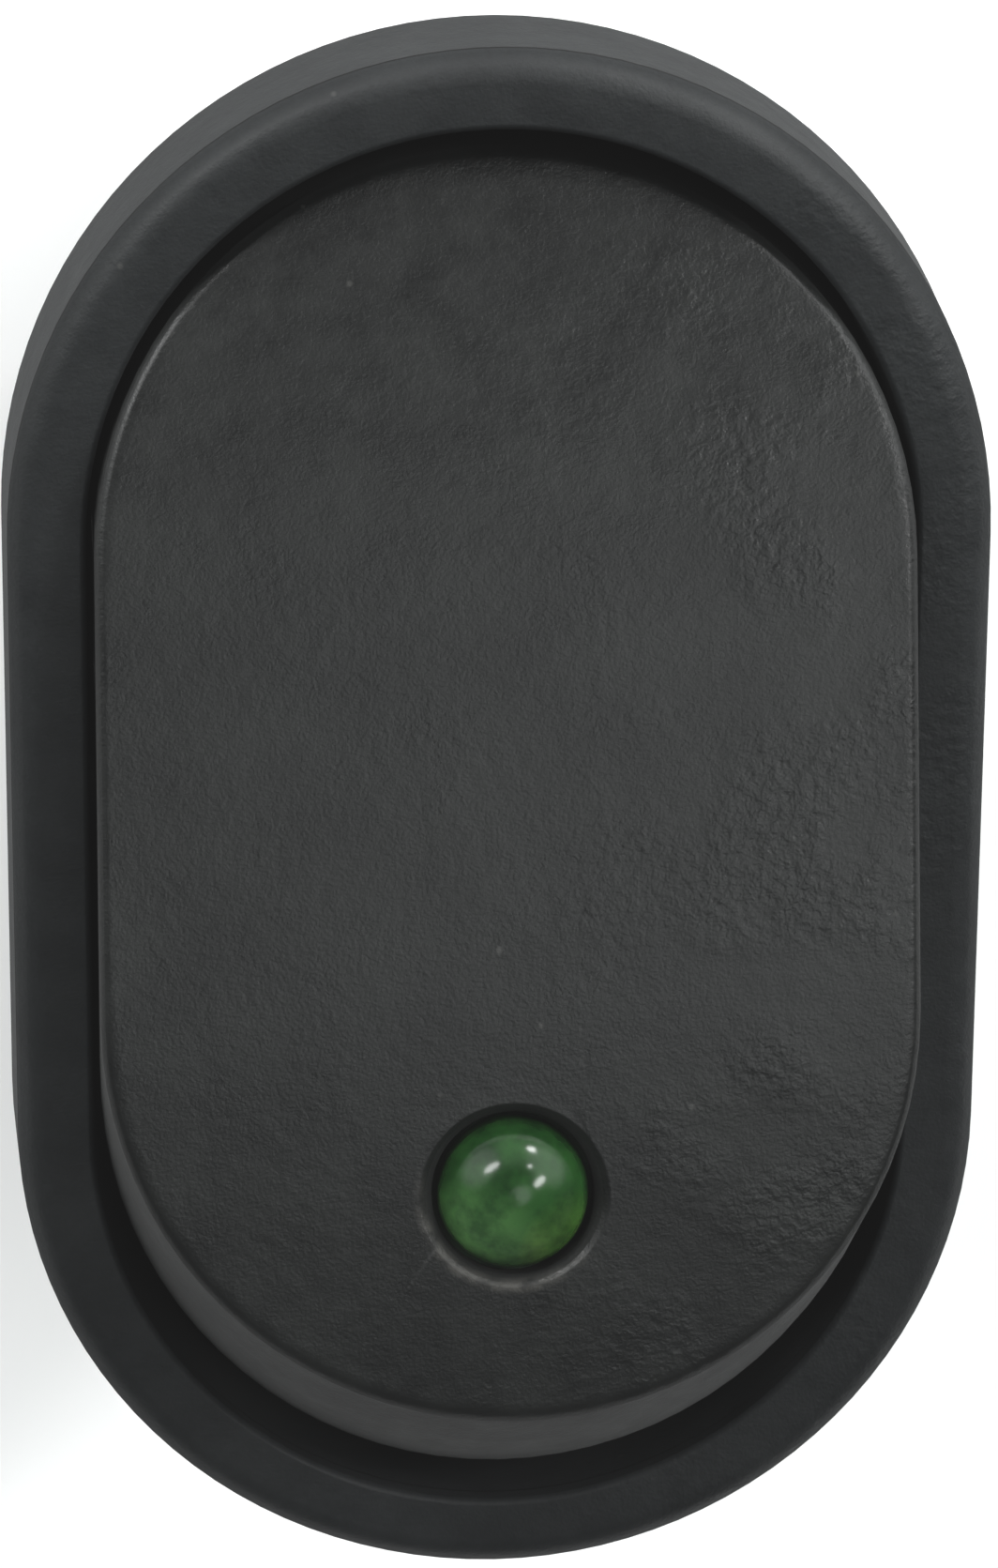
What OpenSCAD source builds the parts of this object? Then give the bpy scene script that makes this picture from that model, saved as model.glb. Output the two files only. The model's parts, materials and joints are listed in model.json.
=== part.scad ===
// Oval panel rocker switch: green indicator dot, snap-in housing, see-saw contact and three blades.
// Frame: origin on the panel face at the centre of the flange, +Z out of the panel, +Y away from the dot.
// Units are millimetres. The rocker is drawn switched off, with the dot's end raised.

/* [Flange and housing] */
// distance between the two end centres of the flange, the mouth and the front of the body
oval_c = 15; // [13.5:0.5:16]
// radius of the flange at the panel face
flange_r = 12.2; // [11.8:0.1:15]
// how far the flange side leans in up to its shoulder
flange_lean = 0.2; // [0:0.05:0.5]
// height of the flange above the panel
flange_h = 4.4; // [3:0.1:6]
// width of the shoulder round the front of the flange
shoulder_w = 0.8; // [0.3:0.05:1.0]
// drop of the shoulder
shoulder_h = 0.58; // [0.2:0.02:1]
// radius of the round at the mouth edge
mouth_round = 0.18; // [0.05:0.01:0.3]
// how far the mouth stands in from the wall behind it
mouth_lip = 0.3; // [0.15:0.05:0.5]
// gap between the rocker's long sides and the mouth
mouth_gap = 0.12; // [0.1:0.01:0.5]
// radius of the housing body behind the panel
body_r = 11.2; // [10.9:0.1:11.6]
// distance between the two end centres of the narrower rear of the body
rear_c = 10.4; // [9.5:0.1:11]
// depth of the housing body behind the panel
body_depth = 20; // [18:0.5:28]
// wall of the housing body
body_wall = 0.8; // [0.6:0.1:1.0]
// chamfer round the rear end of the body
body_chamfer = 0.4; // [0.1:0.1:0.6]
// depth of the narrow mouth below the flange face
mouth_depth = 3.4; // [2:0.1:3.8]
// gap between the lowered skirt of the rocker and the shelf that stops it
shelf_gap = 0.15; // [0.05:0.05:0.3]

/* [Snap wings] */
// width of each snap wing
wing_w = 3; // [2:0.1:4]
// distance of each wing's middle from the pivot
wing_y = 4.9; // [4:0.1:6]
// length of each wing from root to free end
wing_l = 12.4; // [9:0.1:14]
// how far the wing's crest stands out of the body
wing_out = 0.95; // [0.4:0.05:1.4]
// number of ratchet steps for different panels
wing_steps = 4; // [2:1:6]
// height of one ratchet step
wing_step_h = 0.65; // [0.4:0.05:1]
// slot cut round each wing
wing_slot = 0.45; // [0.3:0.05:0.8]
// distance of the wing's free end from the flange
wing_gap = 0.7; // [0.4:0.1:1.5]

/* [Rocker] */
// distance of the pivot axis behind the flange face
pivot_drop = 6.0; // [5.5:0.1:7]
// tilt of the rocker each way
tilt = 14; // [8:0.5:15]
// gap between the mouth's ends and the rocker's round ends, all the way of its tilt
end_gap = 0.1; // [0.05:0.01:0.6]
// height of the top edge at the ends, above the pivot
edge_h = 8.5; // [7.5:0.1:9.5]
// extra height of the middle of the top face
crown_h = 0.8; // [0:0.1:1.2]
// half length of the flat middle of the top face
crown_flat = 4; // [1:0.5:6]
// radius round the top edge
edge_round = 0.3; // [0.2:0.05:0.8]
// inward lean of the rocker's sides up to the top
side_lean = 0.08; // [0:0.02:0.2]
// height of the skirt's lower rim above the pivot
skirt_h = 1.2; // [0.6:0.1:2]
// wall of the rocker's skirt
skirt_wall = 1.2; // [0.9:0.1:1.5]
// roof of the rocker under the flat middle
roof_t = 1.7; // [1.4:0.1:2.2]
// radius of the cheek round each trunnion
cheek_r = 3; // [2.4:0.1:3.6]
// radius of the trunnion pins
trunnion_r = 1.2; // [0.9:0.1:1.4]
// running clearance of a pin in its bore
pin_clear = 0.06; // [0.02:0.01:0.1]
// how far each trunnion stops short of the body's outside
trunnion_short = 0.1; // [0.05:0.05:0.3]
// depth of the plunger boss below the pivot
boss_drop = 5.4; // [4:0.1:6]
// wall of the plunger boss
boss_wall = 0.9; // [0.7:0.1:1.2]

/* [Indicator] */
// distance of the indicator from the pivot along the rocker
dot_y = 9.8; // [8.4:0.1:10]
// radius of the indicator's lens
lens_r = 1.86; // [1.6:0.02:2.2]
// gap round the lens in its hole
lens_gap = 0.12; // [0.08:0.01:0.4]
// height of the lens above the rocker's face
lens_proud = 0.75; // [0.2:0.05:1.2]
// radius of the lens collar
collar_r = 2.6; // [2.4:0.05:2.9]
// height of the lens collar and its sleeve
collar_h = 3.2; // [2:0.1:4]
// rounding of the rocker round the lens hole
rim_round = 0.6; // [0.2:0.05:0.7]
// radius of the lamp bulb
led_r = 1.5; // [1.3:0.05:1.6]
// radius of the lamp's foot ring
led_foot_r = 1.9; // [1.8:0.05:2.2]
// height of the lamp's foot ring
led_foot_h = 1.0; // [0.6:0.1:1.4]
// height of the lamp above its foot ring
led_h = 4.0; // [3:0.1:4.4]
// pitch of the lamp's two leads
lead_pitch = 2.0; // [1.6:0.1:2.54]
// how far the lamp's leads reach up inside it from its foot ring
lead_in = 1.6; // [1.2:0.1:2]
// how far below the foot ring the cathode's lead is bent
lead_out = 1.0; // [0.8:0.1:1.4]
// how far the leads' bent ends run on past what they reach
lead_past = 0.35; // [0.1:0.05:0.6]
// height of the anode's bent end above the cathode's
lead_step = 0.55; // [0.5:0.05:0.8]
// radius of the lamp's and resistor's wires
wire_r = 0.25; // [0.2:0.01:0.3]
// wall of the lamp's socket
socket_wall = 0.7; // [0.5:0.1:1]
// depth of the socket below the lamp
socket_drop = 1.9; // [1.4:0.1:3]
// radius of the resistor
resistor_r = 0.85; // [0.6:0.05:1.0]
// length of the resistor
resistor_l = 3.4; // [2.5:0.1:4.5]
// length of wire left straight beyond each end of the resistor
resistor_lead = 0.7; // [0.5:0.1:1.0]
// clearance between the resistor and the wire under it
wire_gap = 0.15; // [0.05:0.05:0.4]

/* [Contacts] */
// distance of the plunger's tip below the pivot axis
tip_drop = 10; // [9.5:0.1:11]
// radius of the plunger's tip
tip_r = 1.2; // [0.8:0.1:1.4]
// outer radius of the plunger
plunger_r = 1.9; // [1.7:0.05:2.1]
// wall of the plunger
plunger_wall = 0.4; // [0.3:0.05:0.6]
// inward travel of the plunger
plunger_travel = 0.8; // [0.3:0.1:1]
// clearance of the plunger in the boss
plunger_clear = 0.08; // [0.03:0.01:0.1]
// bend of each lever arm, and the lever's rock each way
lever_bend = 6; // [4:0.5:8]
// thickness of the lever
lever_t = 0.6; // [0.4:0.05:0.8]
// width of the lever
lever_w = 5.4; // [4:0.1:6]
// length of the contact arm of the lever
arm_l = 10; // [9.5:0.1:10.5]
// length of the short arm of the lever
short_arm_l = 4.6; // [4:0.1:6]
// height of the lever's face above its own rocking axis
lever_rise = 1.35; // [1.2:0.05:1.6]
// how far the lever's lugs reach below its rocking axis
lug_drop = 0.5; // [0.3:0.1:0.8]
// smallest gap between the plunger's tip and the lever in mid travel
tip_gap = 0.05; // [0.03:0.01:0.1]
// distance of the contact rivets from the rocking axis
rivet_y = 8.3; // [7.5:0.1:8.6]
// radius of the contact faces
rivet_r = 1.6; // [1.2:0.1:1.9]
// thickness of the contact faces
rivet_h = 0.7; // [0.5:0.05:0.9]
// gap left between the closed contacts
close_gap = 0.05; // [0.02:0.01:0.1]

/* [Terminals] */
// width of the terminal blades
blade_w = 6.3; // [4.8:0.1:6.3]
// thickness of the terminal blades
blade_t = 0.8; // [0.5:0.1:0.8]
// length of the blades behind the base
blade_l = 8.6; // [7:0.1:10]
// radius of the hole in each blade
blade_hole_r = 0.85; // [0.7:0.05:1.0]
// distance of that hole from the blade's tip
blade_hole_up = 3.4; // [2.5:0.1:4.5]
// point of each blade, cut from each corner
blade_point = 1.2; // [0.6:0.1:1.6]
// width of a terminal above the base floor
strap_w = 7.6; // [7:0.1:8]
// distance of the outer terminals from the middle one
terminal_y = 12.4; // [12:0.1:13]
// thickness of the terminal base
base_t = 3; // [2.4:0.1:4]
// clearance of the base in the housing and of the blades in the base
seat_gap = 0.05; // [0.02:0.01:0.1]
// gap between the lever's lugs and the saddle that holds the middle terminal upright
saddle_gap = 1.5; // [1.2:0.1:1.8]
// width of the blocks that carry the bent ends of the outer terminals
block_w = 5; // [4:0.1:6]
// height of the ribs between the blades behind the base
barrier_h = 2; // [1:0.1:3]
// length of the latch lugs at the base's ends
lug_l = 4; // [2:0.1:6]

/* [Springs] */
// wire radius of the plunger's spring
spring_wire = 0.22; // [0.16:0.02:0.26]
// coils of the plunger's spring
spring_turns = 9; // [6:1:12]
// mean radius of the ground spring
ground_mean_r = 1.45; // [1.1:0.05:1.6]
// wire radius of the ground spring
ground_wire = 0.17; // [0.12:0.01:0.22]
// coils of the ground spring
ground_turns = 9; // [6:1:12]

/* [Hidden] */
$fn = 96;
eps = 0.01;
// housing
oc = oval_c / 2;
rc = rear_c / 2;
crease_r = flange_r - flange_lean;
face_r = crease_r - shoulder_w;
inner_r = body_r - body_wall;
pivot_z = flange_h - pivot_drop;
// rocker, in its own frame: pivot at the origin, z = height over the pivot, before tilting
mouth_r = inner_r - mouth_lip;
rocker_w = mouth_r - mouth_gap;
end_r = oc + mouth_r - end_gap;
top_l = reach(edge_h);
crown_z = edge_h + crown_h;
ceiling_z = crown_z - roof_t - 0.35;
cavity_l = reach(ceiling_z) - skirt_wall - 0.35;
cavity_w = rocker_w - skirt_wall;
bore_r = plunger_r + plunger_clear;
boss_r = bore_r + boss_wall;
bore_top_z = ceiling_z - 0.6;
cheek_l = 2 * cheek_r + 2;
// shelf at each end of the housing, just below the skirt of the lowered end, and the step outside
shelf_z = pivot_z - reach(skirt_h) * sin(tilt) + skirt_h * cos(tilt) - shelf_gap;
step_z = shelf_z - body_wall;
// indicator, along the rocker's own height
dot_face_z = top_z(dot_y);
lens_top_z = dot_face_z + lens_proud;
hole_r = lens_r + lens_gap;
dot_slope = atan(2 * crown_h * max(0, dot_y - crown_flat) / pow(top_l - crown_flat, 2));
collar_top_z = ceiling_z + 0.5;
collar_low_z = collar_top_z - collar_h;
socket_r = collar_r + 0.05;
foot_low_z = collar_low_z - led_foot_h;
socket_low_z = foot_low_z - socket_drop;
pad_z = foot_low_z - lead_out;
spring_top_z = pad_z - wire_r - 0.02;
// resistor between the lamp's socket and the boss
resistor_y = -(dot_y - socket_r - socket_wall + boss_r) / 2;
lamp_wire_z = pad_z + lead_step - 0.3;
resistor_z = lamp_wire_z + wire_r + resistor_r + wire_gap;
resistor_x = resistor_l / 2 + resistor_lead;
feed_z = bore_top_z - wire_r - 0.05;
// lever and contacts
tip_z = tip_drop - tip_r;
plunger_top = 1.2;
thimble_z = -boss_drop - 1;
vertex_z = pivot_z - tip_drop - tip_gap;
lever_z = vertex_z - lever_rise;
horn_r = blade_t / 2;
rivet_shank_r = rivet_r / 2;
arm_under = lever_rise * cos(lever_bend) - lever_t;
tab_top_z = lever_z + arm_under - rivet_h - close_gap - rivet_h;
saddle_z = lever_z - lug_drop - saddle_gap;
// base and terminals
base_low_z = -body_depth;
base_top_z = base_low_z + base_t;
blade_low_z = base_low_z - blade_l;
ground_seat_y = tilted([-dot_y, spring_top_z])[0];
ground_tab_z = tab_top_z + 0.4;
pip_r = ground_mean_r - ground_wire - 0.12;

// half length of the rocker at height h, so that its ends clear the mouth all the way
function reach(h) = sqrt(end_r * end_r - h * h);
// height of the rocker's top face at a distance y from the pivot
function top_z(y) = edge_h + crown_h * (1 - pow(max(0, abs(y) - crown_flat) / (top_l - crown_flat), 2));
// [y, z] in the housing's frame of a point [y, z] of the tilted rocker
function tilted(p) = [p[0] * cos(tilt) + p[1] * sin(tilt), pivot_z - p[0] * sin(tilt) + p[1] * cos(tilt)];
function unit(v) = v / norm(v);
// a closed coil spring's centre line: flat end coils, even pitch between them
function coil_z(u, turns, len, wire) = let (flat = 1, k = turns - 2 * flat, w = 2.1 * wire)
  u < flat ? w * u : u > turns - flat ? len - w * (turns - u)
  : w * flat + (len - 2 * w * flat) * (u - flat) / k;
function coil(r, turns, len, wire, steps = 14) = [for (i = [0:turns * steps]) let (u = i / steps)
  [r * cos(360 * u), r * sin(360 * u), coil_z(u, turns, len, wire)]];
// an oval ring of points: half width w, half length l, height by the given function of y when crowned
function oval_ring(w, l, z, crown = false, n = 40, m = 7) = let (c = l - w) concat(
  [for (i = [0:n]) let (a = 180 * i / n, p = [w * cos(a), c + w * sin(a)])
    [p[0], p[1], crown ? z + top_z(p[1]) - edge_h : z]],
  [for (i = [1:m]) let (y = c - 2 * c * i / (m + 1)) [-w, y, crown ? z + top_z(y) - edge_h : z]],
  [for (i = [0:n]) let (a = 180 + 180 * i / n, p = [w * cos(a), -c + w * sin(a)])
    [p[0], p[1], crown ? z + top_z(p[1]) - edge_h : z]],
  [for (i = [1:m]) let (y = -c + 2 * c * i / (m + 1)) [w, y, crown ? z + top_z(y) - edge_h : z]]);

// moves the rocker's own frame to its place and tilt in the housing
module in_rocker() {
  translate([0, 0, pivot_z]) rotate([-tilt, 0, 0]) children();
}

// flat oval of end radius r
module oval(r, c = oc) {
  for (s = [-1, 1]) translate([0, s * c]) circle(r);
  square([2 * r, 2 * c], center = true);
}

// upright oval block
module oval_block(r, z0, z1, c = oc) {
  translate([0, 0, z0]) linear_extrude(z1 - z0) oval(r, c);
}

// solid oval whose edge follows a profile of [radius, height] points, drawn from the axis outwards
module oval_form(profile, c = oc) {
  for (s = [0, 180]) rotate([0, 0, s]) translate([0, c, 0]) rotate_extrude(angle = 180) polygon(profile);
  rotate([90, 0, 0]) linear_extrude(2 * c, center = true)
    polygon(concat(profile, [for (i = [len(profile) - 1:-1:0]) [-profile[i][0], profile[i][1]]]));
}

// solid skin through a stack of rings with the same number of points, each counter-clockwise about
// the way the stack grows; cap lists the faces that close the first and last ring, if not one flat face
module skin(rings, cap = []) {
  n = len(rings[0]);
  top = (len(rings) - 1) * n;
  ring = [for (i = [0:n - 1]) i];
  ends = len(cap) > 0 ? cap : [ring];
  sides = [for (k = [0:n:top - n]) for (i = ring) let (a = k + i, b = k + (i + 1) % n)
    each [[b + n, b, a], [a + n, b + n, a]]];
  polyhedron([for (r = rings) for (p = r) p],
    concat(ends, sides, [for (f = ends) [for (i = [len(f) - 1:-1:0]) top + f[i]]]), convexity = 6);
}

// faces across an oval ring between its two mirrored halves, from one end to the other
function oval_cap(n = 40, m = 7) = let (h = n / 2, q = n + 1 + m, k = n + m + 2,
  right = concat([for (i = [h:-1:0]) i], [for (i = [m:-1:1]) q + n + i], [for (i = [n:-1:h]) q + i]),
  left = concat([for (i = [h:n]) i], [for (i = [1:m]) n + i], [for (i = [0:h]) q + i]))
  concat([[right[1], left[0], left[1]]],
    [for (i = [1:k - 3]) each [[right[i], left[i], left[i + 1]], [right[i], left[i + 1], right[i + 1]]]],
    [[right[k - 2], left[k - 2], left[k - 1]]]);

// direction of a path at point i
function along(path, i) = let (n = len(path) - 1) unit(path[min(i + 1, n)] - path[max(i - 1, 0)]);
// sideways directions along a path, each carried on from the one before, so that the wire never twists
function sideways(path, i = 0, last = [0.36, 0.48, 0.8]) = i >= len(path) ? [] :
  let (t = along(path, i), s = unit(last - t * (last * t))) concat([s], sideways(path, i + 1, s));
// a path with its corners rounded to about radius r
function bent(path, r) = concat([path[0]],
  [for (i = [1:len(path) - 2])
    let (p = path[i], a = p + r * unit(path[i - 1] - p), b = p + r * unit(path[i + 1] - p))
      for (u = [0:0.25:1]) a * pow(1 - u, 2) + 2 * p * u * (1 - u) + b * u * u],
  [path[len(path) - 1]]);

// round wire of radius r along a path of points
module wire(path, r, sides = 8) {
  side = sideways(path);
  skin([for (i = [0:len(path) - 1]) let (up = cross(along(path, i), side[i]))
    [for (k = [0:sides - 1]) path[i] + r * (side[i] * cos(360 * k / sides) + up * sin(360 * k / sides))]]);
}

// coil spring standing on z = 0
module spring(r, turns, len, wire) {
  translate([0, 0, wire]) wire(coil(r, turns, len - 2 * wire, wire), wire, 6);
}

// section of the flange and body, from the axis outwards
function flange_profile() = [[0, 0], [flange_r, 0], [crease_r, flange_h - shoulder_h],
  for (a = [0:15:90]) [face_r + shoulder_w * (1 - 0.35) * cos(a) + 0.35 * shoulder_w * (1 - a / 90),
    flange_h - shoulder_h + shoulder_h * sin(a)], [0, flange_h]];

// section of the body from a chamfered low end at z up into the flange
function body_profile(z) = [[0, z], [body_r - body_chamfer, z], [body_r, z + body_chamfer], [body_r, 0.1],
  [0, 0.1]];

// one snap wing in section, X outwards: a leaf that leans out of the wall and ends in a ratchet
module wing_section(grow = 0) {
  z1 = -wing_gap;
  z0 = z1 - wing_l;
  crest = z1 - wing_steps * wing_step_h;
  polygon(concat([[inner_r - grow, z0], [body_r, z0], [body_r + wing_out, crest]],
    [for (i = [0:wing_steps - 1]) for (j = [0, 1])
      [body_r + wing_out * (1 - (i + 1) / (wing_steps + 1)), crest + (i + j) * wing_step_h]],
    [[inner_r - grow, z1]]));
}

module wings() {
  for (m = [0, 1]) mirror([m, 0, 0]) for (s = [-1, 1])
    translate([0, s * wing_y + wing_w / 2, 0]) rotate([90, 0, 0]) linear_extrude(wing_w) wing_section();
}

// slots that free each wing on three sides
module wing_slots() {
  z1 = -wing_gap;
  for (m = [0, 1]) mirror([m, 0, 0]) for (s = [-1, 1]) translate([inner_r - 1, s * wing_y, z1]) {
    for (t = [-1, 1]) translate([0, t * (wing_w + wing_slot) / 2 - wing_slot / 2, -wing_l])
      cube([body_wall + 2, wing_slot, wing_l + wing_slot]);
    translate([0, -wing_w / 2, 0]) cube([body_wall + 2, wing_w, wing_slot]);
  }
}

module housing() color([0.13, 0.135, 0.14]) {
  difference() {
    union() {
      oval_form(flange_profile());
      // front of the body, then the rear, set in at its ends below the shelves
      oval_form(body_profile(step_z));
      oval_form(body_profile(base_low_z), rc);
    }
    // mouth, with its round edge, and the wider space behind it
    oval_block(mouth_r, flange_h - mouth_depth - eps, flange_h + 1);
    translate([0, 0, flange_h - mouth_round]) oval_form([[0, 0],
      for (a = [0:15:90]) [mouth_r + mouth_round * (1 - cos(a)), mouth_round * sin(a)],
      [mouth_r + mouth_round, 1], [0, 1]]);
    oval_block(inner_r, shelf_z, flange_h - mouth_depth);
    oval_block(inner_r, -body_depth - 1, shelf_z + eps, rc);
    // trunnion holes
    translate([0, 0, pivot_z]) rotate([0, 90, 0])
      cylinder(r = trunnion_r + pin_clear, h = 2 * body_r + 2, center = true);
    // windows for the base's latch lugs
    for (s = [-1, 1]) translate([-lug_l / 2 - 0.2, s * (rc + inner_r) - 1.4, base_top_z - 1.8])
      cube([lug_l + 0.4, 2.8, 1.4]);
    wing_slots();
  }
  wings();
}

// rocker before its holes: ends swept about the pivot, round top edge, crowned face
module rocker_form() {
  heights = [for (k = [0:5]) skirt_h + (edge_h - edge_round - skirt_h) * k / 5];
  skin(concat(
    [for (h = heights) oval_ring(rocker_w - side_lean * h / edge_h, reach(h), h)],
    [for (a = [18:18:90]) let (q = edge_round * (1 - cos(a)), h = edge_h - edge_round * (1 - sin(a)))
      oval_ring(rocker_w - side_lean - q, reach(edge_h - edge_round) - q - 0.25 * edge_round * sin(a), h,
        crown = true)],
    [for (q = [0.15, 2, 4.5, 7, 9]) oval_ring(rocker_w - side_lean - edge_round - q,
      reach(edge_h - edge_round) - 1.25 * edge_round - q, edge_h, crown = true)]), oval_cap());
}

module rocker() color([0.17, 0.175, 0.18]) in_rocker() {
  difference() {
    union() {
      difference() {
        rocker_form();
        // hollow under the roof
        oval_block(cavity_w, skirt_h - 1, ceiling_z, cavity_l - cavity_w);
      }
      // plunger boss and lamp socket
      translate([0, 0, -boss_drop]) cylinder(r = boss_r, h = boss_drop + ceiling_z + 0.2);
      translate([0, -dot_y, socket_low_z])
        cylinder(r = socket_r + socket_wall, h = ceiling_z + 0.2 - socket_low_z);
      // webs that stiffen the roof
      for (s = [-1, 1]) translate([s * (boss_r + cavity_w) / 2, 0, ceiling_z - 0.8])
        cube([cavity_w - boss_r + 0.6, 1, 2], center = true);
      translate([-0.5, boss_r - 0.3, ceiling_z - 1.8]) cube([1, cavity_l - boss_r + 0.6, 2]);
      // cheeks and trunnions
      for (m = [0, 1]) mirror([m, 0, 0]) {
        translate([cavity_w - eps, 0, 0]) rotate([0, 90, 0]) cylinder(r = cheek_r, h = skirt_wall);
        translate([cavity_w - eps, -cheek_r, 0]) cube([skirt_wall, 2 * cheek_r, skirt_h + 0.4]);
        translate([rocker_w - 0.3, 0, 0]) rotate([0, 90, 0])
          cylinder(r = trunnion_r, h = body_r - trunnion_short - rocker_w + 0.3);
      }
    }
    // spring bore
    translate([0, 0, -boss_drop - 1]) cylinder(r = bore_r, h = boss_drop + 1 + bore_top_z);
    // lens hole, counterbore from behind and the soft rim round the hole
    translate([0, -dot_y, 0]) {
      cylinder(r = hole_r, h = crown_z + 2);
      translate([0, 0, socket_low_z - 1]) cylinder(r = socket_r, h = collar_top_z - socket_low_z + 1);
      translate([0, 0, dot_face_z - rim_round * 0.9]) rotate([dot_slope, 0, 0]) rotate_extrude()
        polygon(concat([[0, 0]],
          [for (a = [0:15:90]) [hole_r + rim_round * (1 - cos(a)), rim_round * sin(a)]],
          [[hole_r + rim_round, rim_round + 1], [0, rim_round + 1]]));
    }
    // notch for the lamp's wire and hole for the feed wire
    translate([-0.45, -dot_y, socket_low_z - 1])
      cube([0.9, socket_r + socket_wall + 0.4, pad_z + lead_step - socket_low_z + 1.35]);
    translate([-0.4, -boss_r - 0.5, feed_z - 0.4]) cube([0.8, boss_r, 0.8]);
  }
}

// light guide dot: dome, collar that seats under the roof, bore for the lamp
module indicator_lens() color([0.12, 0.45, 0.2]) in_rocker() translate([0, -dot_y, 0]) difference() {
  rotate_extrude() polygon(concat([[0, collar_low_z], [collar_r, collar_low_z], [collar_r, collar_top_z],
    [lens_r, collar_top_z]],
    [for (a = [0:9:90]) [lens_r * cos(a), lens_top_z - lens_r * 0.85 + lens_r * 0.85 * sin(a)]]));
  translate([0, 0, collar_low_z - 1]) cylinder(r = led_r + 0.05, h = 1 + led_h - led_r + 0.02);
  translate([0, 0, collar_low_z + led_h - led_r]) sphere(r = led_r + 0.05);
}

// wire paths in the rocker's own frame
function anode_path() = let (y = -dot_y + lead_pitch / 2, z = pad_z + lead_step)
  [[0, y, collar_low_z + lead_in], [0, y, z], [0, -dot_y + socket_r + socket_wall + lead_past, z]];
function cathode_path() = let (y = -dot_y - lead_pitch / 2)
  [[0, y, collar_low_z + lead_in], [0, y, pad_z], [0, -dot_y + ground_mean_r + lead_past, pad_z]];
function lamp_wire_path() = let (y = resistor_y)
  [[0, anode_path()[2][1] + wire_r + 0.02, lamp_wire_z], [0, y, lamp_wire_z], [-resistor_x, y, lamp_wire_z],
  [-resistor_x, y, resistor_z], [-resistor_x + resistor_lead + 0.5, y, resistor_z]];
function feed_path() = let (y = resistor_y) [[resistor_x - resistor_lead - 0.5, y, resistor_z],
  [resistor_x, y, resistor_z], [resistor_x, y, feed_z], [0, y, feed_z], [0, 1.2, feed_z]];

module led_anode_lead() color([0.75, 0.76, 0.78]) in_rocker() wire(bent(anode_path(), 2 * wire_r), wire_r);

// the cathode lead carries the cup that holds the lamp's chip
module led_cathode_lead() color([0.7, 0.71, 0.74]) in_rocker() {
  wire(bent(cathode_path(), 2 * wire_r), wire_r);
  translate([0, -dot_y - lead_pitch / 2 + 0.25, collar_low_z + lead_in - 0.1])
    rotate_extrude() polygon([[0, 0], [0.4, 0], [0.6, 0.8], [0.5, 0.8], [0.3, 0.5], [0, 0.5]]);
}

module led_lamp() color([0.3, 0.7, 0.35]) in_rocker() translate([0, -dot_y, 0]) difference() {
  union() {
    translate([0, 0, foot_low_z]) cylinder(r = led_foot_r, h = led_foot_h - 0.02);
    translate([0, 0, foot_low_z + 0.1]) cylinder(r = led_r, h = led_foot_h - 0.1 + led_h - led_r);
    translate([0, 0, collar_low_z + led_h - led_r]) sphere(r = led_r - 0.02);
  }
  // the two leads and the chip's cup are moulded in
  for (s = [-1, 1]) translate([0, s * lead_pitch / 2, foot_low_z - 1])
    cylinder(r = wire_r + 0.02, h = 1 + led_foot_h + lead_in + 0.1);
  translate([0, -lead_pitch / 2 + 0.25, collar_low_z + lead_in - 0.15]) cylinder(r = 0.65, h = 0.95);
}

// resistor body with its two rounded caps, bored for the wires
module resistor() color([0.75, 0.65, 0.48]) in_rocker() translate([0, resistor_y, resistor_z]) {
  half = [[0.6, 0.5], [1, 0.44], [1, 0.3], [0.84, 0.25]];
  other = [for (i = [3:-1:0]) [half[i][0], -half[i][1]]];
  rotate([0, 90, 0]) difference() {
    rotate_extrude() polygon([for (p = concat([[0, 0.5]], half, other, [[0, -0.5]]))
      [p[0] * resistor_r, p[1] * resistor_l]]);
    for (s = [-1, 1]) translate([0, 0, s * resistor_l / 2])
      cylinder(r = wire_r + 0.02, h = 1.1, center = true);
  }
}

module resistor_lamp_wire() color([0.78, 0.78, 0.8]) in_rocker()
  wire(bent(lamp_wire_path(), 2 * wire_r), wire_r);

module resistor_spring_wire() color([0.72, 0.72, 0.75]) in_rocker()
  wire(bent(feed_path(), 2 * wire_r), wire_r);

// sleeve on the upright run of the feed wire
module wire_sleeve() color([0.1, 0.1, 0.1]) in_rocker()
  translate([resistor_x, resistor_y, resistor_z + 0.4]) difference() {
    cylinder(r = wire_r + 0.3, h = feed_z - resistor_z - 0.8);
    translate([0, 0, -1]) cylinder(r = wire_r + 0.03, h = feed_z - resistor_z + 2);
  }

module plunger_spring() color([0.6, 0.6, 0.62]) in_rocker()
  translate([0, 0, thimble_z + 0.02]) spring(plunger_r - plunger_wall - spring_wire - 0.08, spring_turns,
    feed_z - wire_r - 0.04 - thimble_z, spring_wire);

// brass thimble that runs in the boss, with the spring inside and a ball tip
module plunger() color([0.78, 0.62, 0.3]) in_rocker() difference() {
  rotate_extrude() polygon(concat(
    [[0, -plunger_top], [plunger_r, -plunger_top], [plunger_r, thimble_z - 0.2]],
    [for (a = [-10:-10:-90]) [tip_r * cos(a), -tip_z + tip_r * sin(a)]]));
  translate([0, 0, thimble_z]) cylinder(r = plunger_r - plunger_wall, h = tip_z);
}

// lever strip in section, in its own frame with the rocking axis at the origin: two arms bent up
module lever_section() {
  a = lever_bend;
  top = [for (p = [[-short_arm_l, 0], [0, 0], [arm_l, 0]]) [p[0], lever_rise + abs(p[0]) * tan(a)]];
  polygon(concat(top, [for (i = [2:-1:0]) [top[i][0], top[i][1] - lever_t / cos(a)]]));
}

module in_lever(angle = lever_bend) {
  translate([0, 0, lever_z]) rotate([angle, 0, 0]) children();
}

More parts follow.
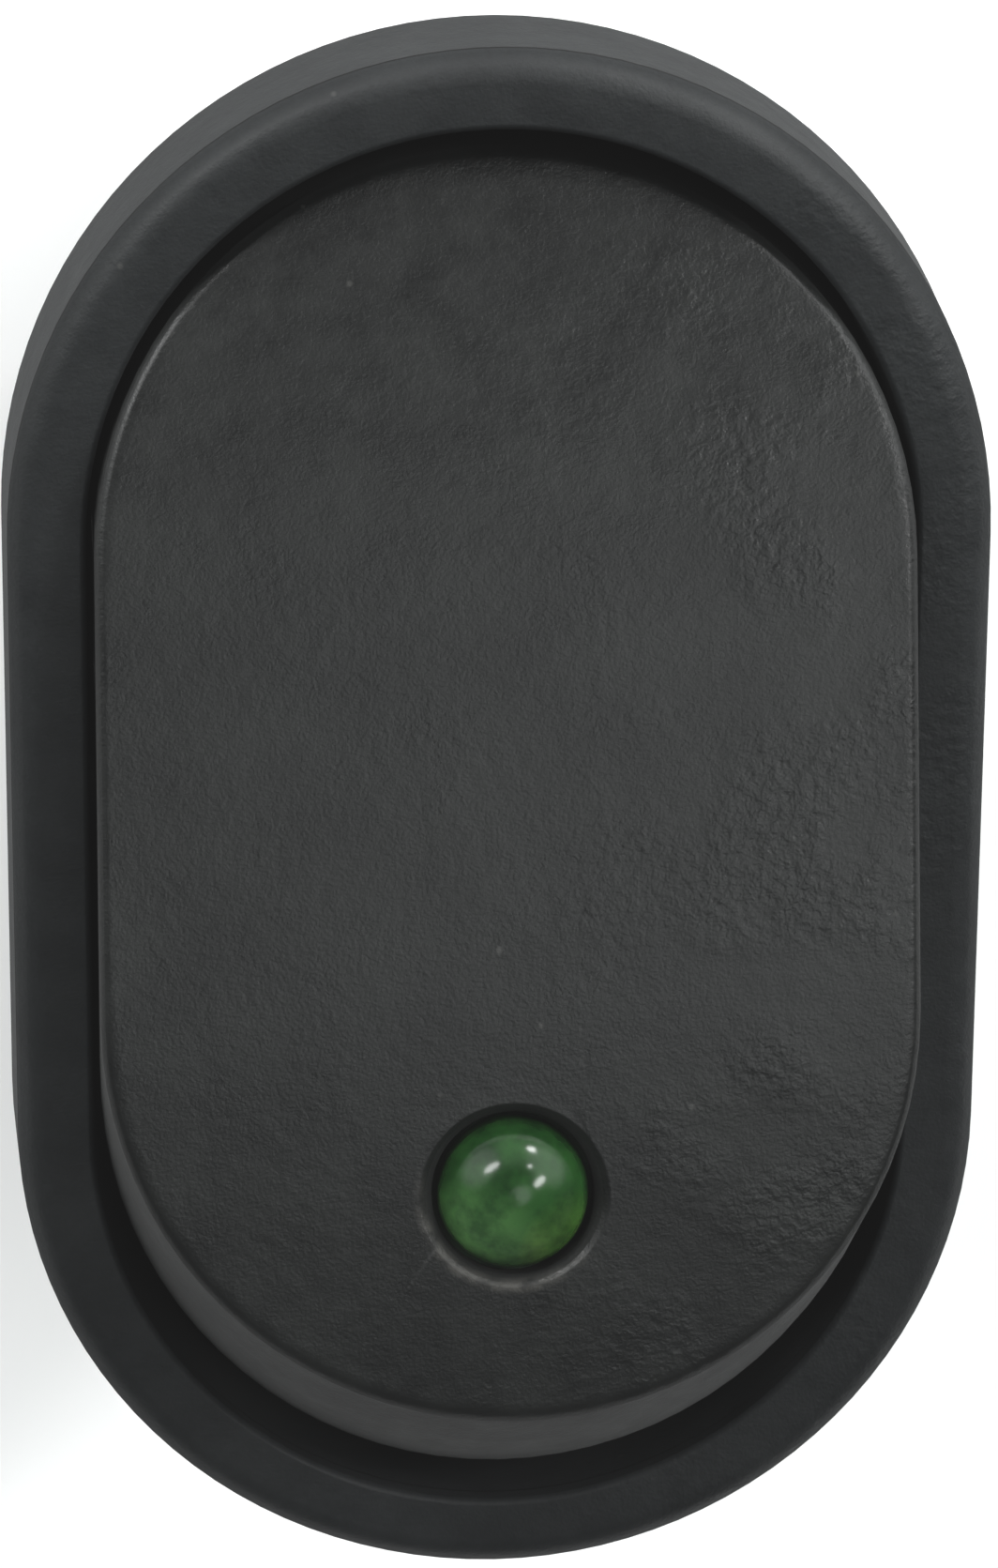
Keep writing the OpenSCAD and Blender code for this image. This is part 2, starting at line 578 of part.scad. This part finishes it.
module contact_lever() color([0.75, 0.45, 0.3]) in_lever() difference() {
  union() {
    // strip
    rotate([90, 0, 90]) translate([0, 0, -lever_w / 2]) linear_extrude(lever_w) lever_section();
    // lugs bent down on both sides, notched to sit on the terminal's horns
    for (s = [-1, 1]) translate([s * (lever_w / 2 - lever_t / 2) - lever_t / 2, 0, 0]) rotate([90, 0, 90])
      linear_extrude(lever_t) difference() {
        polygon([[-1.5, -lug_drop], [-1.9, lever_rise - 0.3], [1.9, lever_rise - 0.3], [1.5, -lug_drop]]);
        circle(r = horn_r + 0.03);
        polygon([[-horn_r - 0.03, 0], [-horn_r - 0.35, -1], [horn_r + 0.35, -1], [horn_r + 0.03, 0]]);
      }
  }
  // rivet hole in the contact arm
  rotate([lever_bend, 0, 0]) translate([0, rivet_y, 0]) cylinder(r = rivet_shank_r + 0.02, h = 10);
}

module moving_contact() color([0.8, 0.8, 0.82]) in_lever(2 * lever_bend)
  translate([0, rivet_y, arm_under]) rotate_extrude() polygon([[0, -rivet_h], [rivet_r - 0.2, -rivet_h],
    [rivet_r, -rivet_h + 0.2], [rivet_r, -0.01], [rivet_shank_r, -0.01], [rivet_shank_r, lever_t + 0.01],
    [rivet_shank_r + 0.3, lever_t + 0.01], [rivet_shank_r + 0.2, lever_t + 0.25], [0, lever_t + 0.3]]);

module fixed_contact() color([0.8, 0.8, 0.82]) translate([0, rivet_y, tab_top_z]) rotate_extrude()
  polygon([[0, rivet_h], [rivet_r - 0.2, rivet_h], [rivet_r, rivet_h - 0.2], [rivet_r, 0.01],
    [rivet_shank_r, 0.01], [rivet_shank_r, -blade_t - 0.01], [rivet_shank_r + 0.3, -blade_t - 0.01],
    [rivet_shank_r + 0.2, -blade_t - 0.25], [0, -blade_t - 0.3]]);

// flat blank of a terminal, X across: pointed blade, then the wider strap on the base floor up to z1
module blank(z1) {
  h = blade_w / 2;
  w = strap_w / 2;
  difference() {
    polygon([[-h + blade_point, blade_low_z], [h - blade_point, blade_low_z],
      [h, blade_low_z + 1.6 * blade_point], [h, base_top_z], [w, base_top_z], [w, z1], [-w, z1],
      [-w, base_top_z], [-h, base_top_z], [-h, blade_low_z + 1.6 * blade_point]]);
    translate([0, blade_low_z + blade_hole_up]) circle(r = blade_hole_r, $fn = 48);
  }
}

// stands a flat blank up at distance y, its thickness along Y
module stand(y) {
  translate([0, y + blade_t / 2, 0]) rotate([90, 0, 0]) linear_extrude(blade_t) children();
}

// terminal with its upper end bent flat towards the middle, round on the outside of the bend
module bent_terminal(side, top_z, inner_y) {
  outer_y = terminal_y + blade_t / 2;
  stand(side * terminal_y) blank(top_z - blade_t);
  translate([-strap_w / 2, 0, 0]) rotate([90, 0, 90]) linear_extrude(strap_w)
    polygon([for (p = concat([[inner_y, top_z - blade_t], [outer_y, top_z - blade_t]],
      [for (a = [0:15:90]) [outer_y - blade_t + blade_t * cos(a), top_z - blade_t + blade_t * sin(a)]],
      [[inner_y, top_z]])) [side * p[0], p[1]]]);
}

module supply_terminal() color([0.72, 0.68, 0.62]) difference() {
  bent_terminal(1, tab_top_z, rivet_y - rivet_r - 0.6);
  translate([0, rivet_y, tab_top_z - blade_t - 1]) cylinder(r = rivet_shank_r + 0.02, h = blade_t + 2);
}

module ground_terminal() color([0.8, 0.64, 0.32]) {
  bent_terminal(-1, ground_tab_z, -ground_seat_y - ground_mean_r - 0.8);
  translate([0, ground_seat_y, ground_tab_z - 0.1]) cylinder(r1 = pip_r, r2 = pip_r - 0.3, h = 0.9);
}

// middle terminal: its top is cut into two round-topped horns that carry the lever
module load_terminal() color([0.72, 0.68, 0.62]) {
  horn_x = lever_w / 2 - lever_t / 2;
  stand(0) difference() {
    blank(lever_z);
    translate([-horn_x + 0.75, lever_z - 1.6]) square([2 * horn_x - 1.5, 3]);
  }
  for (s = [-1, 1]) translate([s > 0 ? horn_x - 0.75 : -strap_w / 2, 0, lever_z]) rotate([0, 90, 0])
    cylinder(r = horn_r, h = strap_w / 2 - horn_x + 0.75);
}

// slot for one terminal through the base
module blade_slot(y) {
  translate([-blade_w / 2 - seat_gap, y - blade_t / 2 - seat_gap, base_low_z - barrier_h - 1])
    cube([blade_w + 2 * seat_gap, blade_t + 2 * seat_gap, base_t + barrier_h + 2]);
}

module terminal_base() color([0.16, 0.16, 0.17]) {
  gap = seat_gap;
  difference() {
    union() {
      oval_block(inner_r - gap, base_low_z, base_top_z, rc);
      // latch lugs at both ends
      for (s = [-1, 1]) translate([-lug_l / 2, s * (rc + inner_r + 0.1) - 0.6, base_top_z - 1.6])
        cube([lug_l, 1.2, 1]);
      // ribs between the blades
      for (s = [-1, 1]) translate([-strap_w / 2 - 1.5, s * terminal_y / 2 - 0.6, base_low_z - barrier_h])
        cube([strap_w + 3, 1.2, barrier_h + 1]);
      // blocks that carry the bent tabs
      translate([-block_w / 2, rivet_y + rivet_r + 0.1, base_top_z - 1])
        cube([block_w, terminal_y - rivet_y - rivet_r - blade_t / 2 - 0.1 - gap,
          tab_top_z - blade_t - gap - base_top_z + 1]);
      translate([-block_w / 2, -terminal_y + blade_t / 2 + gap, base_top_z - 1])
        cube([block_w, terminal_y + ground_seat_y - blade_t / 2 + 1.2,
          ground_tab_z - blade_t - gap - base_top_z + 1]);
      // saddle that holds the middle terminal upright
      for (m = [0, 1]) mirror([0, m, 0]) translate([-strap_w / 2 - 1, blade_t / 2 + gap, base_top_z - 1])
        cube([strap_w + 2, 1.2, saddle_z - base_top_z + 1]);
    }
    for (s = [-1, 0, 1]) blade_slot(s * terminal_y);
  }
}

module ground_spring() color([0.65, 0.65, 0.67])
  translate([0, ground_seat_y, ground_tab_z + 0.02]) spring(ground_mean_r, ground_turns,
    tilted([-dot_y, spring_top_z])[1] - ground_tab_z - 0.45, ground_wire);

housing();
terminal_base();
rocker();
indicator_lens();
led_lamp();
led_anode_lead();
led_cathode_lead();
resistor();
resistor_lamp_wire();
resistor_spring_wire();
wire_sleeve();
plunger_spring();
plunger();
contact_lever();
moving_contact();
fixed_contact();
supply_terminal();
load_terminal();
ground_terminal();
ground_spring();
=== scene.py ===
"""Looks of the oval panel rocker switch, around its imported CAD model. Units are metres, in the CAD's own frame."""

import json
import math

import bpy
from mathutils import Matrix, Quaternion, Vector


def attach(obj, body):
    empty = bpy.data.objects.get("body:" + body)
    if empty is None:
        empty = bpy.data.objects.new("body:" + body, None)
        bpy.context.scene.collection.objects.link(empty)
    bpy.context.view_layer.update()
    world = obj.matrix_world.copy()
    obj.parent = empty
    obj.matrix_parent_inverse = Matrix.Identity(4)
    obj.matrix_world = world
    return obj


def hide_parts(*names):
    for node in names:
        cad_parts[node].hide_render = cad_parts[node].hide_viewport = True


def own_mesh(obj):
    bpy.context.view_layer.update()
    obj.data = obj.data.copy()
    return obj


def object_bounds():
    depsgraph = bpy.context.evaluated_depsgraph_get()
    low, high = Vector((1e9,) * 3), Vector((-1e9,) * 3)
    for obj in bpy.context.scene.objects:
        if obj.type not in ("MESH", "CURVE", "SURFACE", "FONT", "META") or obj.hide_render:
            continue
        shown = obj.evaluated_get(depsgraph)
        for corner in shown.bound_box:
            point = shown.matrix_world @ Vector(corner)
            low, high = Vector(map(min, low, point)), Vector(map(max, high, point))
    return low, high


MM = 0.001

# centre and radius of the indicator's dome, with the rocker at rest
LENS_DOME = (0, -7.51 * MM, 8.78 * MM)
LENS_RADIUS = 1.86 * MM
# middle of the indicator's hole on the rocker's face at rest, and the radius of its softened rim, whose near edge
# gets a painted highlight
HOLE = (0, -7.31 * MM, 9.59 * MM)
HOLE_RIM = 2.28 * MM
# height of the crease where the flange's side meets its shoulder, which gets a painted dark line of shade
CREASE_Z = 3.83 * MM
# the way the rocker's face looks at rest, which is also the plunger's axis
ROCKER_UP = (0, 0.242, 0.970)

# edges that turn by more than this stay sharp
SMOOTH_BELOW = math.radians(15)

# soft bright patches of the sky: direction, half angles in degrees where each is full and where it ends, and light
CEILING = ((0.20, 0.19, 0.96), 5, 15, 3.9)
WINDOWS = [((0.0, 0.96, 0.27), 8, 34, 1.3), ((0.72, 0.62, 0.31), 8, 34, 3.8), ((-0.72, 0.62, 0.31), 8, 34, 3.5)]
SKY_LIGHT = 0.25
SKY_COLOUR = (0.97, 1.0, 0.995, 1)

# small lamps, whose glints show in the lens: direction, width and height in metres, and power in watts
LAMPS = {
    "lamp_right": ((0.56, 0.38, 0.73), (0.08, 0.20), 1.6),
    "lamp_far": ((0.40, 0.89, 0.20), (0.12, 0.10), 1.6),
    "lamp_back": ((0.37, 0.70, 0.61), (0.06, 0.06), 0.4),
    "lamp_left": ((-0.47, 0.68, 0.57), (0.24, 0.10), 1.9),
}
LAMP_DISTANCE = 0.6

FLOOR_SIZE = 1.6
CAMERA_PLACE = (-9.50 * MM, 38.75 * MM, 130.92 * MM)
# the camera's turn from looking straight down: an axis whose length is the angle in radians
CAMERA_TURN = (-0.2860, -0.0728, -0.0031)
CAMERA_ANGLE = math.radians(16.55)
# the lightest black, as a phone's lens lays a slight haze over the deepest shadows
HAZE = 0.009

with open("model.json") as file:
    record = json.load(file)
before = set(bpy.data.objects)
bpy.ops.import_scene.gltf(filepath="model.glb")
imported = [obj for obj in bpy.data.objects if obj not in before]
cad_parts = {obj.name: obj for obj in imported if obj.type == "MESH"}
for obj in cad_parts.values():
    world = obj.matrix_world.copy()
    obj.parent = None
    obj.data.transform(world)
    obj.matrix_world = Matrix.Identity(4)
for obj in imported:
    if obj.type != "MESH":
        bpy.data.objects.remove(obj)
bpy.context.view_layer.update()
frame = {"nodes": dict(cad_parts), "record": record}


# ---------------------------------------------------------------- materials


class Shader:
    """A material's node tree, with short calls for the nodes that the finishes below share."""

    def __init__(self, name):
        self.material = bpy.data.materials.new(name)
        self.material.use_nodes = True
        self.tree = self.material.node_tree
        self.surface = self.tree.nodes["Principled BSDF"]
        where = self.node("ShaderNodeTexCoord")
        self.place, self.facing = where.outputs["Object"], where.outputs["Normal"]

    def node(self, kind, **settings):
        made = self.tree.nodes.new(kind)
        for key, value in settings.items():
            setattr(made, key, value)
        return made

    def link(self, source, target):
        self.tree.links.new(source, target)

    def set(self, **values):
        """Fixed values on the surface's own sockets; underscores stand for spaces."""
        for key, value in values.items():
            self.surface.inputs[key.replace("_", " ")].default_value = value
        return self

    def stretched(self, scale):
        """Object coordinates scaled by a factor along each axis."""
        mapping = self.node("ShaderNodeMapping")
        mapping.inputs["Scale"].default_value = scale
        self.link(self.place, mapping.inputs["Vector"])
        return mapping.outputs["Vector"]

    def noise(self, size, detail=2.0, rough=0.5, place=None):
        """Soft noise whose blobs are about size metres across."""
        made = self.node("ShaderNodeTexNoise")
        made.inputs["Scale"].default_value = 1 / size
        made.inputs["Detail"].default_value = detail
        made.inputs["Roughness"].default_value = rough
        self.link(place or self.place, made.inputs["Vector"])
        return made.outputs["Fac"]

    def away(self, point):
        """Distance of the surface from a point."""
        made = self.node("ShaderNodeVectorMath", operation="DISTANCE")
        self.link(self.place, made.inputs[0])
        made.inputs[1].default_value = point
        return made.outputs["Value"]

    def axis(self, name):
        """One coordinate of the place on the object."""
        made = self.node("ShaderNodeSeparateXYZ")
        self.link(self.place, made.inputs[0])
        return made.outputs[name]

    def maths(self, operation, first, second):
        made = self.node("ShaderNodeMath", operation=operation)
        for socket, value in zip(made.inputs, (first, second)):
            if isinstance(value, bpy.types.NodeSocket):
                self.link(value, socket)
            else:
                socket.default_value = value
        return made.outputs[0]

    def product(self, first, second):
        return self.maths("MULTIPLY", first, second)

    def sum(self, first, second):
        return self.maths("ADD", first, second)

    def band(self, height, width):
        """1 on a thin line at one height, 0 beyond it."""
        off = self.maths("ABSOLUTE", self.maths("SUBTRACT", self.axis("Z"), height), 0.0)
        return self.span(off, 1, 0, width * 0.3, width)

    def ramp(self, value, low, high, start=0.35, end=0.65):
        """Colour that runs from low to high as the value goes from start to end."""
        made = self.node("ShaderNodeValToRGB")
        made.color_ramp.elements[0].position = start
        made.color_ramp.elements[1].position = end
        made.color_ramp.elements[0].color = (*low, 1)
        made.color_ramp.elements[1].color = (*high, 1)
        self.link(value, made.inputs["Fac"])
        return made.outputs["Color"]

    def span(self, value, low, high, start=0.3, end=0.7):
        """Number that runs from low to high as the value goes from start to end."""
        made = self.node("ShaderNodeMapRange")
        for name, number in zip(("From Min", "From Max", "To Min", "To Max"), (start, end, low, high)):
            made.inputs[name].default_value = number
        self.link(value, made.inputs["Value"])
        return made.outputs["Result"]

    def mix(self, kind, first, second, amount):
        """Two colours mixed in one of Blender's blend modes."""
        made = self.node("ShaderNodeMix", data_type="RGBA", blend_type=kind)
        for socket, value in ((made.inputs[0], amount), (made.inputs[6], first), (made.inputs[7], second)):
            if isinstance(value, bpy.types.NodeSocket):
                self.link(value, socket)
            elif isinstance(value, (int, float)):
                socket.default_value = value
            else:
                socket.default_value = (*value, 1)
        return made.outputs[2]

    def bump(self, height, depth, strength=1.0, under=None):
        """Relief of the given depth in metres, on top of another relief or rounded edge."""
        made = self.node("ShaderNodeBump")
        made.inputs["Distance"].default_value = depth
        made.inputs["Strength"].default_value = strength
        self.link(height, made.inputs["Height"])
        if under is not None:
            self.link(under, made.inputs["Normal"])
        return made.outputs["Normal"]

    def soft_edges(self, radius):
        """Normals that round every sharp edge by a small radius, as a mould does."""
        made = self.node("ShaderNodeBevel", samples=2)
        made.inputs["Radius"].default_value = radius
        return made.outputs["Normal"]

    def to(self, socket, source):
        self.link(source, self.surface.inputs[socket])
        return self


def nylon_colour(s, dark, light):
    """Flow mottling from dark to light, fine pores, and a few specks of dust."""
    colour = s.ramp(s.noise(2.2 * MM, 5, 0.62), dark, light)
    pores = s.ramp(s.noise(0.16 * MM, 3, 0.7), (0.72, 0.72, 0.72), (1.18, 1.18, 1.18))
    colour = s.mix("MULTIPLY", colour, pores, 0.55)
    specks = s.node("ShaderNodeTexVoronoi", feature="F1")
    specks.inputs["Scale"].default_value = 1 / (2.3 * MM)
    s.link(s.place, specks.inputs["Vector"])
    dust = s.span(specks.outputs["Distance"], 0.5, 0, 0.02, 0.045)
    return s.mix("MIX", colour, (0.04, 0.04, 0.038), dust)


def painted_rim_highlight(s, colour, middle, radius):
    """Painted highlight: lighter patches on the near edge of a hole's rim, standing for light falling on it."""
    ring = s.maths("ABSOLUTE", s.maths("SUBTRACT", s.away(middle), radius), 0.0)
    across = s.sum(s.axis("Y"), s.product(s.axis("X"), 0.5))
    near = s.span(across, 1, 0, middle[1] - 2.0 * MM, middle[1] - 0.4 * MM)
    patches = s.span(s.noise(0.5 * MM, 3), 0.2, 1, 0.4, 0.6)
    painted_highlight = s.product(s.span(ring, 1, 0, 0.04 * MM, 0.20 * MM), patches)
    return s.mix("MIX", colour, (0.034, 0.033, 0.030), s.product(painted_highlight, near))


def nylon_relief(s):
    """Rounded edges, fingered patches towards +X, a soft ripple and the mould's fine grain."""
    worn = s.product(s.span(s.axis("X"), 0.25, 1, 0, 6 * MM), s.span(s.noise(3.2 * MM, 2), 0, 1, 0.42, 0.6))
    patches = s.product(s.noise(0.30 * MM, 2, 0.6), worn)
    relief = s.bump(patches, 0.038 * MM, 0.9, s.soft_edges(0.07 * MM))
    relief = s.bump(s.noise(0.42 * MM, 2, 0.5), 0.020 * MM, 0.6, relief)
    return s.bump(s.noise(0.085 * MM, 3, 0.6), 0.013 * MM, 0.8, relief)


def moulded_nylon(name, dark, light, up, rough, specular, crease_shade_z=None, rim=None):
    """Black nylon from a spark-eroded mould.

    up is the way that its rubbed faces look; rough gives the roughness of a side face, then of a rubbed one.
    crease_shade_z is the height of a thin painted dark line of shade along a crease, rim the middle of a hole whose
    near edge gets a painted highlight.
    """
    s = Shader(name).set(Metallic=0.0, IOR=1.5, Specular_IOR_Level=specular)
    facing = s.node("ShaderNodeVectorMath", operation="DOT_PRODUCT")
    s.link(s.facing, facing.inputs[0])
    facing.inputs[1].default_value = up
    rubbed = s.span(facing.outputs["Value"], 0, 1, 0.55, 0.85)
    colour = nylon_colour(s, dark, light)
    if crease_shade_z is not None:
        # painted shade: a thin black line along the crease
        colour = s.mix("MIX", colour, (0.0, 0.0, 0.0), s.band(crease_shade_z, 0.05 * MM))
    if rim is not None:
        # painted highlight on the near edge of the hole's rim
        colour = painted_rim_highlight(s, colour, rim, HOLE_RIM)
    s.to("Base Color", colour)
    uneven = s.span(s.noise(1.1 * MM, 4, 0.65), -0.04, 0.05)
    s.to("Roughness", s.sum(s.span(rubbed, *rough, 0, 1), uneven))
    s.to("Normal", nylon_relief(s))
    return s.material


def tinted_lens(name):
    """Green translucent acrylic: cloudy inside, with painted light low on both sides where light gathers inside the
    dome, polished on its dome and frosted on the collar below.
    """
    s = Shader(name).set(Metallic=0.0, IOR=1.49, Specular_IOR_Level=0.2)
    s.set(Subsurface_Weight=0.25, Subsurface_Scale=0.6 * MM, Subsurface_Radius=(0.25, 1.0, 0.3))
    cloud = s.noise(0.9 * MM, 4, 0.6)
    colour = s.ramp(cloud, (0.0035, 0.017, 0.0035), (0.0095, 0.039, 0.008), 0.36, 0.64)
    # painted light, lighter low on both sides where light gathers inside the dome: offset along X, radius and tint
    for across, size, tint in ((-0.8, 1.7, (6.5, 3.9, 5.6)), (1.2, 1.3, (4.4, 2.7, 2.1))):
        middle = Vector(LENS_DOME) + Vector((across, -0.9, 0.9)) * MM
        painted_caustic = s.span(s.away(middle), 1, 0, 0.2 * MM, size * MM)
        colour = s.mix("MIX", colour, s.mix("MULTIPLY", colour, tint, 1.0), painted_caustic)
    below = s.span(s.away(LENS_DOME), 0, 1, LENS_RADIUS * 1.005, LENS_RADIUS * 1.03)
    s.to("Base Color", s.mix("MIX", colour, (0.006, 0.02, 0.007), below))
    s.to("Roughness", s.span(below, 0.15, 0.7, 0, 1))
    s.to("Normal", s.bump(s.noise(0.5 * MM, 2, 0.5), 0.006 * MM, 0.6))
    return s.material


def drawn_metal(name, colour, dull, rough=(0.24, 0.42), along=(1, 1, 0.08)):
    """Stamped or drawn metal: fine lines along one direction, a little tarnish, soft sheared edges."""
    s = Shader(name).set(Metallic=1.0)
    lines = s.noise(0.06 * MM, 3, 0.6, s.stretched(along))
    tarnish = s.noise(2.4 * MM, 5, 0.65)
    s.to("Base Color", s.mix("MIX", colour, dull, s.span(tarnish, 0, 0.75, 0.4, 0.7)))
    s.to("Roughness", s.span(tarnish, *rough))
    s.to("Normal", s.bump(lines, 0.006 * MM, 0.6, s.soft_edges(0.06 * MM)))
    return s.material


def plain_resin(name, low, high, rough, clear=0.0):
    """Small moulded or dipped resin part with slight colour variation and orange peel."""
    s = Shader(name).set(Metallic=0.0, Roughness=rough, Coat_Weight=clear)
    s.to("Base Color", s.ramp(s.noise(0.9 * MM, 4, 0.6), low, high))
    s.to("Normal", s.bump(s.noise(0.12 * MM, 2, 0.5), 0.006 * MM, 0.6))
    return s.material


FINISHES = {
    "black_nylon": moulded_nylon(
        "black_nylon_grain", (0.0066, 0.0076, 0.0082), (0.0100, 0.0113, 0.0119),
        up=(0, 0, 1), rough=(0.80, 0.50), specular=0.22, crease_shade_z=CREASE_Z),
    "rocker_nylon": moulded_nylon(
        "rocker_nylon_grain", (0.0025, 0.0028, 0.0028), (0.0055, 0.0061, 0.0058),
        # rim=HOLE paints a highlight on the near edge of the indicator's hole
        up=ROCKER_UP, rough=(0.70, 0.30), specular=0.25, rim=HOLE),
    "green_lens": tinted_lens("green_lens_acrylic"),
    "lamp_epoxy": plain_resin("lamp_epoxy_cloud", (0.05, 0.3, 0.06), (0.1, 0.42, 0.12), 0.15, 0.5),
    "tinned_wire": drawn_metal("tinned_wire_drawn", (0.72, 0.72, 0.71), (0.45, 0.45, 0.44)),
    "resistor_body": plain_resin("resistor_lacquer", (0.5, 0.4, 0.26), (0.6, 0.5, 0.34), 0.35, 0.3),
    "sleeve": plain_resin("sleeve_rubber", (0.015, 0.015, 0.015), (0.03, 0.03, 0.03), 0.6),
    "spring_steel": drawn_metal("spring_steel_drawn", (0.56, 0.56, 0.57), (0.35, 0.34, 0.33)),
    "brass": drawn_metal("brass_stamped", (0.58, 0.41, 0.16), (0.34, 0.23, 0.09)),
    "copper": drawn_metal("copper_stamped", (0.82, 0.45, 0.3), (0.45, 0.24, 0.15)),
    "silver": drawn_metal("silver_contact", (0.88, 0.88, 0.87), (0.6, 0.58, 0.54), (0.15, 0.3)),
    "plated_brass": drawn_metal("plated_brass_stamped", (0.50, 0.48, 0.43), (0.30, 0.28, 0.23)),
}


def dress_cad():
    """Gives every CAD node the finish of its own material slot."""
    for part in frame["record"]["subparts"]:
        node = frame["nodes"][part["node"]]
        node.data.materials.clear()
        node.data.materials.append(FINISHES[part["material_slot"]])


# ---------------------------------------------------------------- smooth shading


def smoothing_group(limit):
    """Geometry nodes that weld a mesh and shade it smooth, apart from edges sharper than the limit in radians."""
    group = bpy.data.node_groups.new("smooth_by_angle", "GeometryNodeTree")
    group.interface.new_socket("Geometry", in_out="INPUT", socket_type="NodeSocketGeometry")
    group.interface.new_socket("Geometry", in_out="OUTPUT", socket_type="NodeSocketGeometry")
    new = group.nodes.new
    start, end = new("NodeGroupInput"), new("NodeGroupOutput")
    weld = new("GeometryNodeMergeByDistance")
    weld.inputs["Distance"].default_value = 0.002 * MM
    drop = new("GeometryNodeRemoveAttribute")
    drop.inputs["Name"].default_value = "custom_normal"
    faces, edges = new("GeometryNodeSetShadeSmooth"), new("GeometryNodeSetShadeSmooth")
    edges.domain = "EDGE"
    edges.inputs["Shade Smooth"].default_value = False
    angle, sharp = new("GeometryNodeInputMeshEdgeAngle"), new("FunctionNodeCompare")
    sharp.inputs["B"].default_value = limit
    chain = [start, weld, drop, faces, edges, end]
    for source, target in zip(chain, chain[1:]):
        group.links.new(source.outputs[0], target.inputs[0])
    group.links.new(angle.outputs["Unsigned Angle"], sharp.inputs["A"])
    group.links.new(sharp.outputs["Result"], edges.inputs["Selection"])
    return group


def smooth(pieces):
    """Smooth shading on these meshes, with normals that leave their flat faces flat."""
    group = smoothing_group(SMOOTH_BELOW)
    for piece in pieces:
        piece.modifiers.new("smooth", "NODES").node_group = group
        weighted = piece.modifiers.new("flat_faces", "WEIGHTED_NORMAL")
        weighted.keep_sharp = True
        weighted.weight = 80


# ---------------------------------------------------------------- springs


def coil_spring(node_name, body, axis):
    """A spring's own mesh in place of its CAD node, attached to the given body.
    """
    node = frame["nodes"][node_name]
    coil = bpy.data.objects.new(node_name + "_coil", node.data.copy())
    bpy.context.scene.collection.objects.link(coil)
    coil.matrix_world = node.matrix_world.copy()
    axis = Vector(axis).normalized()
    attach(coil, body)
    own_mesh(coil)
    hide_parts(node_name)
    return coil


# ---------------------------------------------------------------- light, floor and camera


def lamp(name, direction, size, power):
    """Elliptical lamp that shines on the object from a direction; size is its width and height."""
    data = bpy.data.lights.new(name, "AREA")
    data.shape = "ELLIPSE"
    data.size, data.size_y = size
    data.energy = power
    made = bpy.data.objects.new(name, data)
    away = Vector(direction).normalized()
    made.location = away * LAMP_DISTANCE
    made.rotation_euler = away.to_track_quat("Z", "Y").to_euler()
    bpy.context.scene.collection.objects.link(made)


def sky():
    """Dim sky with soft bright patches: the ceiling, and windows beyond the switch's far end."""
    world = bpy.data.worlds.new("pale_room")
    world.use_nodes = True
    nodes, links = world.node_tree.nodes, world.node_tree.links
    way = nodes.new("ShaderNodeTexCoord").outputs["Generated"]
    total = None
    for direction, inner, outer, light in [CEILING] + WINDOWS:
        dot, span, add = (nodes.new(f"ShaderNode{kind}") for kind in ("VectorMath", "MapRange", "Math"))
        dot.operation, span.interpolation_type = "DOT_PRODUCT", "SMOOTHSTEP"
        dot.inputs[1].default_value = Vector(direction).normalized()
        ends = (math.cos(math.radians(outer)), math.cos(math.radians(inner)), 0, light)
        for name, number in zip(("From Min", "From Max", "To Min", "To Max"), ends):
            span.inputs[name].default_value = number
        links.new(way, dot.inputs[0])
        links.new(dot.outputs["Value"], span.inputs["Value"])
        links.new(span.outputs["Result"], add.inputs[0])
        if total is None:
            add.inputs[1].default_value = SKY_LIGHT
        else:
            links.new(total, add.inputs[1])
        total = add.outputs[0]
    nodes["Background"].inputs["Color"].default_value = SKY_COLOUR
    links.new(total, nodes["Background"].inputs["Strength"])
    bpy.context.scene.world = world


def paper_floor():
    """Plain pale floor that the blades stand on."""
    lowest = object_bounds()[0][2]
    bpy.ops.mesh.primitive_plane_add(size=FLOOR_SIZE, location=(0, 0, lowest))
    floor = bpy.context.object
    floor.name = "floor"
    s = Shader("floor_paper").set(Metallic=0.0, Roughness=0.85, Specular_IOR_Level=0.2)
    s.to("Base Color", s.ramp(s.noise(30 * MM, 3), (0.90, 0.90, 0.90), (0.93, 0.93, 0.93)))
    floor.data.materials.append(s.material)


def camera():
    """Camera above the far end, looking down on the switch."""
    data = bpy.data.cameras.new("camera")
    data.sensor_fit = "VERTICAL"
    data.angle_y = CAMERA_ANGLE
    data.clip_start, data.clip_end = 0.005, 10
    cam = bpy.data.objects.new("camera", data)
    cam.location = CAMERA_PLACE
    turn = Vector(CAMERA_TURN)
    cam.rotation_mode = "QUATERNION"
    cam.rotation_quaternion = Quaternion(turn.normalized(), turn.length)
    bpy.context.scene.collection.objects.link(cam)
    bpy.context.scene.camera = cam


def tone():
    """Plain tones, with black lifted to the haze."""
    view = bpy.context.scene.view_settings
    view.view_transform = "Standard"
    view.use_curve_mapping = True
    combined = view.curve_mapping.curves[3]
    combined.points[0].location = (0, HAZE)
    view.curve_mapping.update()


camera()
dress_cad()
springs = [
    coil_spring("ground_spring", "case", (0, 0, 1)),
    coil_spring("plunger_spring", "rocker", ROCKER_UP),
]
smooth(list(frame["nodes"].values()) + springs)
paper_floor()
sky()
for lamp_name, facts in LAMPS.items():
    lamp(lamp_name, *facts)
tone()
